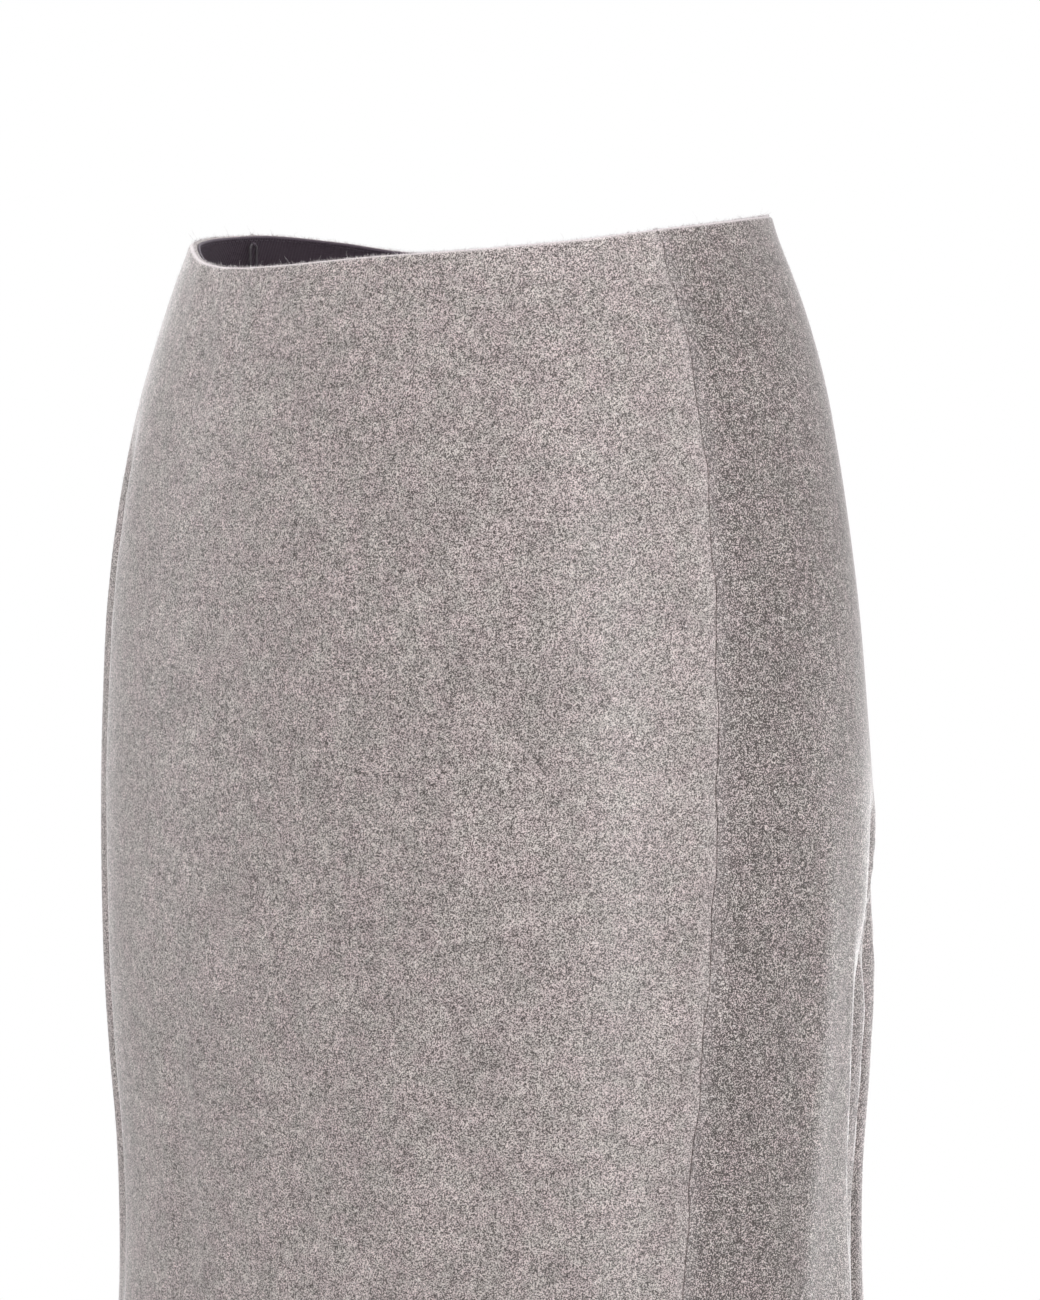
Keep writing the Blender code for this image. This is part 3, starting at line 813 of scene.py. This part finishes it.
SATIN_FINISH = satin_ribbon()
for side_name in ("left", "right"):
    node = f"hanger_loop_{side_name}"
    low, high = (np.array(corner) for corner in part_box(node))
    centre = (low + high) / 2
    out_way = np.array((centre[0], centre[1] * LOOP_FACING, 0.0))
    out_way /= np.linalg.norm(out_way)
    round_way = np.array((-out_way[1], out_way[0], 0.0))
    arch_radius = (LOOP_SPAN - LOOP_BAND) / 2
    half_height = (high[2] - low[2] - LOOP_SPAN) / 2
    width_ways = []
    path = []
    for end, first in ((1, 0.0), (-1, math.pi)):
        for angle in np.linspace(first, first + math.pi, ARCH_POINTS):
            width_ways.append(round_way * math.cos(angle) + UP * math.sin(angle))
            path.append(width_ways[-1] * arch_radius + UP * end * half_height)
        for share in np.linspace(0, 1, SIDE_POINTS + 2)[1:-1]:
            width_ways.append(round_way * -end)
            path.append(width_ways[-1] * arch_radius + UP * end * half_height * (1 - 2 * share))
    path = np.array(path)
    down = np.clip((high[2] - centre[2] - path[:, 2]) / (high[2] - low[2]), 0, 1)
    narrowed = path @ round_way * (1 - LOOP_WAIST * np.sin(math.pi * down))
    path = centre + UP * path[:, 2:3] + round_way * narrowed[:, None]
    loop = ring_tube(f"hanger_loop_{side_name}_ribbon", path, np.array(width_ways), out_way, SATIN_FINISH)
    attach(loop, "skirt")
    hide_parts(node)

    arch = centre * (1, 1, 0) + UP * (high[2] - LOOP_BAND / 2)
    reach = LOOP_BAND / 2 + THREAD
    tacks = []
    for turn in range(TACK_TURNS):
        start = arch + round_way * (turn - (TACK_TURNS - 1) / 2) * THREAD * 2
        angles = np.linspace(-0.2, math.pi + 0.2, TACK_POINTS)
        tacks.append([start + (UP * math.cos(bent) - out_way * math.sin(bent)) * reach for bent in angles])
    tack = thread_piece(f"hanger_loop_{side_name}_tack", np.array(tacks), GROSGRAIN_FINISH, TACK_THREAD)
    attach(tack, "skirt")


# ------------------------------------------------------------------------------ Zip tapes
# Two woven polyester tapes in grey, which lie flat behind the parted edges at centre back. Each is sewn to
# its back panel with a row of lockstitch.

TAPE_SEAM = 0.0045  # the stitches' distance from centre back
TAPE_STITCH = (0.0024, 0.0005)  # a stitch's length and the gap after it
TAPE_MIDDLES = (("left", 174.0), ("right", -174.0))


def woven_tape():
    finish, tree, shader = new_finish("grey_zip_weave")
    twill = mapped(tree, cloth_places(tree, 0.1), "Rotation", (0, math.radians(38), 0))
    inputs = {"Vector": twill, "Scale": 320.0, "Distortion": 1.2, "Detail": 1.0}
    lines = add_node(tree, "TexWave", inputs, wave_type="BANDS", bands_direction="X").outputs["Fac"]
    colour = mixed(tree, lines, (0.15, 0.135, 0.135, 1), (0.29, 0.265, 0.265, 1))
    tree.links.new(colour, shader.inputs["Base Color"])
    relief(tree, shader, 0.4, 0.00015, lines)
    shader.inputs["Roughness"].default_value = 0.7
    shader.inputs["Sheen Weight"].default_value = 0.2
    return finish


TAPE_FINISH = woven_tape()
for side_name, middle in TAPE_MIDDLES:
    node = f"zip_tape_{side_name}"
    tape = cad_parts[node]
    tape.data.materials.clear()
    tape.data.materials.append(TAPE_FINISH)
    line = []
    for row in wall_rows(node, middle, facing_out=False):
        row = row[np.argsort(np.abs(row[:, 0]))]
        line.append([np.interp(TAPE_SEAM, np.abs(row[:, 0]), row[:, axis]) for axis in range(3)])
    line = np.array(line)
    inward = np.tile((0.0, -1.0, 0.0), (len(line), 1))
    stitches = row_of_stitches(line, inward, *TAPE_STITCH)
    seam = thread_piece(f"zip_stitches_{side_name}", stitches, TAPE_FINISH)
    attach(seam, "skirt")


# ------------------------------------------------------------------------------ Zip chain
# A closed coil of grey nylon: two rows of small wire loops that mesh along the middle. Each row is woven on
# to the edge of its tape.

COIL_PITCH = 0.0012
COIL_HALF_WIDTH = 0.0017
COIL_HALF_DEPTH = 0.00042
COIL_WIRE = 0.00030
COIL_SIDES = 6
COIL_END = 0.0004
WIRE_SWELL = np.array((0.9, 1.25, 1.0, 0.95, 0.95, 0.8))  # the wire's head is flattened where it meshes
WIRE_LEAN = 0.0001


def nylon_coil():
    finish, tree, shader = new_finish("grey_nylon")
    shade = noise(tree, object_places(tree), 900.0, 1.0, 0.5)
    colour = mixed(tree, shade, (0.17, 0.155, 0.155, 1), (0.27, 0.25, 0.25, 1))
    tree.links.new(colour, shader.inputs["Base Color"])
    shader.inputs["Roughness"].default_value = 0.38
    return finish


outer_rows = wall_rows("zip_chain", 180.0)
inner_rows = wall_rows("zip_chain", 180.0, facing_out=False)
spine = (outer_rows[:, 1] + inner_rows[:, 1]) / 2
spine_places = chord_places(spine)
across = np.linspace(-0.35, 1.0, len(WIRE_SWELL))
depths = COIL_HALF_DEPTH * np.sin(np.linspace(-0.5, math.pi / 2, len(WIRE_SWELL)))
teeth = []
for side in (-1, 1):
    start = COIL_END + 0.25 * COIL_PITCH * (1 + side)
    for place in np.arange(start, spine_places[-1] - COIL_END, COIL_PITCH):
        x, y, z = read_between(spine, spine_places, np.array((place,)))[0]
        wire = np.stack((side * COIL_HALF_WIDTH * across, y + depths, z - WIRE_LEAN * across), axis=1)
        teeth.append(wire)
teeth = np.array(teeth)
tooth_radii = np.repeat(COIL_WIRE * WIRE_SWELL[None], len(teeth), axis=0)
chain = thin_tubes("zip_coil", teeth, tooth_radii, COIL_SIDES, nylon_coil())
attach(chain, "skirt")
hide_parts("zip_chain")


# ------------------------------------------------------------------------------ Zip slider and pull
# Die-cast metal in satin grey enamel. The slider's body rides on the coil inside, its bail comes out between
# the parted edges, and the drop-shaped pull hangs from it outside.

METAL_EDGE = 0.00022
CORNER = 35.0  # the least angle between faces that counts as an edge


def satin_enamel():
    finish, tree, shader = new_finish("satin_grey_enamel")
    solid = object_places(tree)
    wear_and_highlight = noise(tree, solid, 260.0, 2.0, 0.5)
    colour = mixed(tree, spread_out(tree, wear_and_highlight, 0.4, 0.7), (0.20, 0.185, 0.185, 1), (0.30, 0.28, 0.28, 1))
    tree.links.new(colour, shader.inputs["Base Color"])
    rough = mixed(tree, spread_out(tree, wear_and_highlight, 0.35, 0.7), (0.24, 0.24, 0.24, 1), (0.42, 0.42, 0.42, 1))
    tree.links.new(rough, shader.inputs["Roughness"])
    relief(tree, shader, 0.15, 0.00005, noise(tree, solid, 1400.0, 2.0, 0.5))
    shader.inputs["Metallic"].default_value = 0.85
    return finish


def casting(name, node):
    """A die-cast piece on its solid's form, with its edges rounded."""
    shape = bmesh.new()
    shape.from_mesh(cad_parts[node].data)
    bmesh.ops.remove_doubles(shape, verts=shape.verts, dist=1e-6)
    mesh = bpy.data.meshes.new(name)
    shape.to_mesh(mesh)
    shape.free()
    piece = placed(name, mesh, ENAMEL_FINISH)
    rounding = piece.modifiers.new("rounded_edges", "BEVEL")
    rounding.width = METAL_EDGE
    rounding.segments = 3
    rounding.limit_method = "ANGLE"
    rounding.angle_limit = math.radians(CORNER)
    piece.modifiers.new("even_shading", "WEIGHTED_NORMAL")
    return piece


ENAMEL_FINISH = satin_enamel()
slider = casting("zip_slider_casting", "zip_slider")
pull = casting("zip_pull_drop", "zip_pull")
for piece, body, node in ((slider, "skirt", "zip_slider"), (pull, "pull", "zip_pull")):
    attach(piece, body)
    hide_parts(node)


# ------------------------------------------------------------------------------ Hem
# The hem's raw edge is caught to the cloth from inside with a slack blind stitch in grey thread, which
# doesn't show outside.

HEM_STITCH = 0.0070
HEM_SWING = 0.0030  # how far a stitch runs up and down
HEM_START = 0.002
HEM_SLACK = 0.0004
HEM_THREAD = THREAD * 0.8
HEM_THREAD_SIDES = 4

shares = np.array((0.0, 0.25, 0.5, 0.75, 1.0))
swings = np.array((-1.0, 0.0, 1.0, 0.0, -1.0)) * HEM_SWING / 2
lifts = np.array((0.3, 1.2, -0.3, 1.2, 0.3)) * THREAD + HEM_SLACK
hem_paths = []
for outer, inner, normal in CLOTH.values():
    reach = chord_places(inner)
    row = int(np.abs(reach[-1] - reach - HEM_TURNING).argmin())
    starts = np.arange(HEM_START, chord_places(inner[row])[-1] - HEM_STITCH, HEM_STITCH)
    paths = thread_paths(inner[row], -normal[row], starts, HEM_STITCH, shares, lifts)
    hem_paths.append(paths + UP * swings[None, :, None])
hem_paths = np.concatenate(hem_paths)
hem_stitches = thread_piece("hem_stitches", hem_paths, TAPE_FINISH, HEM_THREAD, HEM_THREAD_SIDES)
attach(hem_stitches, "skirt")


# ------------------------------------------------------------------------------ Studio
# A pale floor well below the hanging hem, soft boxes round the skirt, a tall narrow one by the camera, and a
# bright white surround that wraps round its edges.

CAMERA_BEARING = 50.0
CAMERA_DISTANCE = 2.6
CAMERA_FALL = 1.1  # degrees below the waist
FRAME_HEIGHT = 0.4992  # what the frame takes in at the skirt's middle
FRAME_CENTRE = (0.01306, -0.15744)  # to the right of the skirt's middle, and up from the waist
SENSOR = 36.0
FLOOR_LEVEL = -1.05
FLOOR_RADIUS = 2.4
SURROUND = 0.63
AIM = Vector((0, 0, -0.25))  # what the soft boxes are turned to


def at_bearing(bearing, distance, level):
    angle = math.radians(bearing)
    return Vector((math.sin(angle) * distance, -math.cos(angle) * distance, level))


def look_at(obj, target):
    obj.rotation_euler = (target - obj.location).to_track_quat("-Z", "Y").to_euler()


def floor_finish():
    finish, tree, shader = new_finish("pale_floor")
    mottle = noise(tree, object_places(tree), 3.0, 3.0, 0.5)
    colour = mixed(tree, mottle, (0.80, 0.80, 0.80, 1), (0.84, 0.84, 0.84, 1))
    tree.links.new(colour, shader.inputs["Base Color"])
    shader.inputs["Roughness"].default_value = 0.85
    return finish


shape = bmesh.new()
bmesh.ops.create_circle(shape, cap_ends=True, radius=FLOOR_RADIUS, segments=96)
floor_mesh = bpy.data.meshes.new("floor")
shape.to_mesh(floor_mesh)
shape.free()
floor_mesh.materials.append(floor_finish())
floor = bpy.data.objects.new("floor", floor_mesh)
floor.location = (0, 0, FLOOR_LEVEL)
bpy.context.scene.collection.objects.link(floor)

SOFT_BOXES = (
    # name, bearing, distance, level, width, height, watts
    ("camera_strip", 62.0, 1.6, -0.12, 0.14, 1.3, 4.2),
    ("left_side", -65.0, 2.4, 0.40, 1.2, 2.0, 4.4),
    ("left_rim", -110.0, 2.2, 0.30, 0.7, 2.0, 6.0),
    ("right_side", 95.0, 2.4, 0.40, 1.2, 2.0, 3.6),
    ("low_behind", 160.0, 2.0, -0.60, 0.6, 0.6, 4.6),
    ("low_right_rim", 200.0, 2.0, -0.60, 0.6, 0.6, 4.8),
    ("overhead", 50.0, 0.35, 1.6, 1.2, 1.2, 11.0),
)
for name, bearing, distance, level, width, height, watts in SOFT_BOXES:
    light = bpy.data.lights.new(name, "AREA")
    light.shape = "RECTANGLE"
    light.size = width
    light.size_y = height
    light.energy = watts
    lamp = bpy.data.objects.new(name, light)
    bpy.context.scene.collection.objects.link(lamp)
    lamp.location = at_bearing(bearing, distance, level)
    look_at(lamp, AIM)

world = bpy.data.worlds.new("white_surround")
bpy.context.scene.world = world
world.use_nodes = True
sky = world.node_tree
seen_white = add_node(sky, "Background", {"Color": (1, 1, 1, 1), "Strength": 1.0})
ambient = sky.nodes["Background"]
ambient.inputs["Color"].default_value = (1, 1, 1, 1)
ambient.inputs["Strength"].default_value = SURROUND
by_camera = add_node(sky, "LightPath").outputs["Is Camera Ray"]
surround = add_node(sky, "MixShader", {0: by_camera, 1: ambient.outputs[0], 2: seen_white.outputs[0]})
sky.links.new(surround.outputs[0], sky.nodes["World Output"].inputs["Surface"])

bpy.context.scene.view_settings.view_transform = "Standard"
camera_data = bpy.data.cameras.new("camera")
camera_data.sensor_fit = "VERTICAL"
camera_data.sensor_height = SENSOR
camera_data.lens = SENSOR * CAMERA_DISTANCE / FRAME_HEIGHT
camera = bpy.data.objects.new("camera", camera_data)
bpy.context.scene.collection.objects.link(camera)
camera_level = -CAMERA_DISTANCE * math.tan(math.radians(CAMERA_FALL))
camera.location = at_bearing(CAMERA_BEARING, CAMERA_DISTANCE, camera_level)
aside, up_by = FRAME_CENTRE
look_at(camera, at_bearing(CAMERA_BEARING + 90, aside, up_by))
bpy.context.scene.camera = camera
